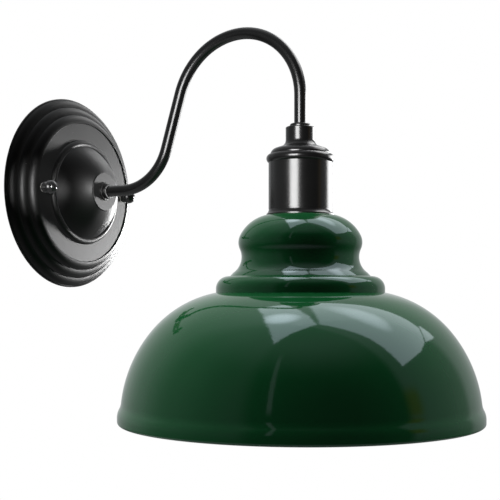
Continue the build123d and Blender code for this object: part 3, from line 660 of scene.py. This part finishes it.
# ceiling windows, seen in gloss alone: all places and lengths on the ceiling are divided by its
# height, and counted from the lamp's axis
def windows(onlyFor):
    room = {"height": 6.0, "left": -0.55, "right": 1.95, "near": -1.5, "far": 0.6,
            "ragged": 0.04, "raggedScale": 2.4, "tint": (1.0, 1.08, 1.16, 1)}
    panes = [
        {"corners": [(-0.45, 0.04), (0.07, -0.10), (0.53, 0.37), (0.40, 0.49)],
         "soft": 0.012, "level": 2.4, "glare": (0.10, 0.20), "spread": (0.17, 0.15), "extra": 4.0},
        {"corners": [(0.09, -0.11), (0.45, -1.36), (0.70, -1.24), (1.05, -1.05), (1.29, -0.84),
                     (1.38, -0.45), (1.10, -0.10), (0.96, 0.08), (0.64, 0.31)],
         "soft": 0.016, "level": 2.0, "glare": (0.60, -0.20), "spread": (0.20, 0.40), "extra": 2.0},
        {"corners": [(1.33, -0.82), (1.74, -0.71), (1.86, -0.64), (1.47, -0.40), (1.42, -0.45)],
         "soft": 0.012, "level": 1.6, "glare": (1.5, -0.6), "spread": (0.3, 0.3), "extra": 0.3},
    ]
    height = room["height"]
    size = ((room["right"] - room["left"]) * height, (room["far"] - room["near"]) * height)
    lamp = panel("windows", size)
    lamp.energy = math.pi * size[0] * size[1]
    lamp.use_nodes = True
    s = Tree(lamp.node_tree)
    here = s.node("ShaderNodeNewGeometry", output="Position")
    x, y = s.parts(here)[:2]
    noise = s.node("ShaderNodeTexNoise", {}, {"Vector": here, "Scale": room["raggedScale"],
                                              "Detail": 4.0, "Roughness": 0.7}) - 0.5
    u = x * (1 / height) + noise * room["ragged"]
    v = (y - lampY) * (1 / height) - noise * room["ragged"]
    light = 0.0
    for pane in panes:
        mask = 1.0
        corners = pane["corners"]
        for (u0, v0), (u1, v1) in zip(corners, corners[1:] + corners[:1]):
            length = math.hypot(u1 - u0, v1 - v0)
            inside = ((v - v0) * (u1 - u0) - (u - u0) * (v1 - v0)) / length
            mask = inside.ramp(-pane["soft"], pane["soft"]) * mask
        across = (u - pane["glare"][0]) / pane["spread"][0]
        along = (v - pane["glare"][1]) / pane["spread"][1]
        glare = 1 - (across * across + along * along).ramp(0.0, 1.0)
        light = mask * (pane["level"] + glare * pane["extra"]) + light
    glow = s.node("ShaderNodeEmission", {}, {"Color": room["tint"], "Strength": light})
    s.node("ShaderNodeOutputLight", {}, {"Surface": glow})
    holder = lampHolder("windows", lamp, onlyFor, None)
    holder.visible_diffuse = False
    holder.location = ((room["right"] + room["left"]) / 2 * height,
                       lampY + (room["far"] + room["near"]) / 2 * height, height)


# the shade, the arm with its holder, and the plate each have their own lamps
def studioLamps():
    nose = (0, -0.03, 0)
    shade = group("shadeOnly", "enamelShade")
    plate = group("plateOnly", "back_plate", "arm_collar", "stud_washers", "ball_nut_left",
                  "ball_nut_right")
    nuts = group("nutsOnly", "stud_washers", "ball_nut_left", "ball_nut_right", "arm_collar")
    arm = group("armOnly", "gooseneck_tube", "holder_locknut", "holder_cap", "holder_shell",
                "seat_ring")
    armLamps = {
        "armLeft": {"azimuth": -84, "height": 5, "distance": 0.6, "size": (0.30, 0.36),
                    "radiance": 22.0},
        "armRight": {"azimuth": 74, "height": 5, "distance": 0.8, "size": (0.66, 0.36),
                     "radiance": 8.0},
        "armTop": {"azimuth": 68, "height": 47, "distance": 1.2, "size": (1.1, 0.6),
                   "radiance": 4.0},
    }
    shadeLamps = {
        "glowLeft": {"azimuth": -155, "height": 5, "distance": 2.2, "size": (1.2, 1.2),
                     "radiance": 5.3},
        "glowRight": {"azimuth": 50, "height": 5, "distance": 2.2, "size": (1.2, 1.2),
                      "radiance": 9.0},
        "glowTop": {"azimuth": 130, "height": 60, "distance": 2.2, "size": (2.0, 2.0),
                    "radiance": 7.6},
    }
    plateLamps = {
        "plateRight": {"azimuth": 75, "height": -3, "distance": 1.2, "size": (0.18, 0.22),
                       "radiance": 300.0},
        "plateTop": {"azimuth": 88, "height": 38, "distance": 1.2, "size": (0.6, 0.6),
                     "radiance": 4.0},
        "plateLow": {"azimuth": 100, "height": -8, "distance": 1.2, "size": (0.2, 0.2),
                     "radiance": 48.0},
    }
    plateSpots = {
        "domeGlow": {"azimuth": 0, "height": 8, "distance": 1.5, "cone": 0.030, "radius": 0.03,
                     "radiance": 8000.0, "aim": (-0.004, -0.03, 0)},
        "ribSpark": {"azimuth": -41, "height": 3, "distance": 1.5, "cone": 0.009, "radius": 0.02,
                     "radiance": 45000.0, "aim": (-0.063, -0.018, 0)},
    }
    softbox("key", azimuth=-125, height=35, distance=2.2, size=(1.6, 1.6), radiance=0.9,
            reflected=False)
    windows(shade)
    for name, lamp in armLamps.items():
        softbox(name, onlyFor=arm, **lamp)
    for name, lamp in shadeLamps.items():
        softbox(name, onlyFor=shade, blockers=shade, reflected=False, **lamp)
    for name, lamp in plateLamps.items():
        softbox(name, onlyFor=plate, blockers=plate, aim=nose, **lamp)
    for name, lamp in plateSpots.items():
        spot(name, onlyFor=plate, **lamp)
    softbox("nutSpark", azimuth=-104, height=3, distance=1.0, size=(0.5, 0.5), radiance=20.0,
            aim=nose, onlyFor=nuts, blockers=nuts)
    nodes["back_plate"].visible_glossy = False  # the enamel doesn't mirror the plate


studioWorld()
floor()
camera()
studioLamps()
bpy.context.scene.view_settings.view_transform = "Standard"
print("studio made")
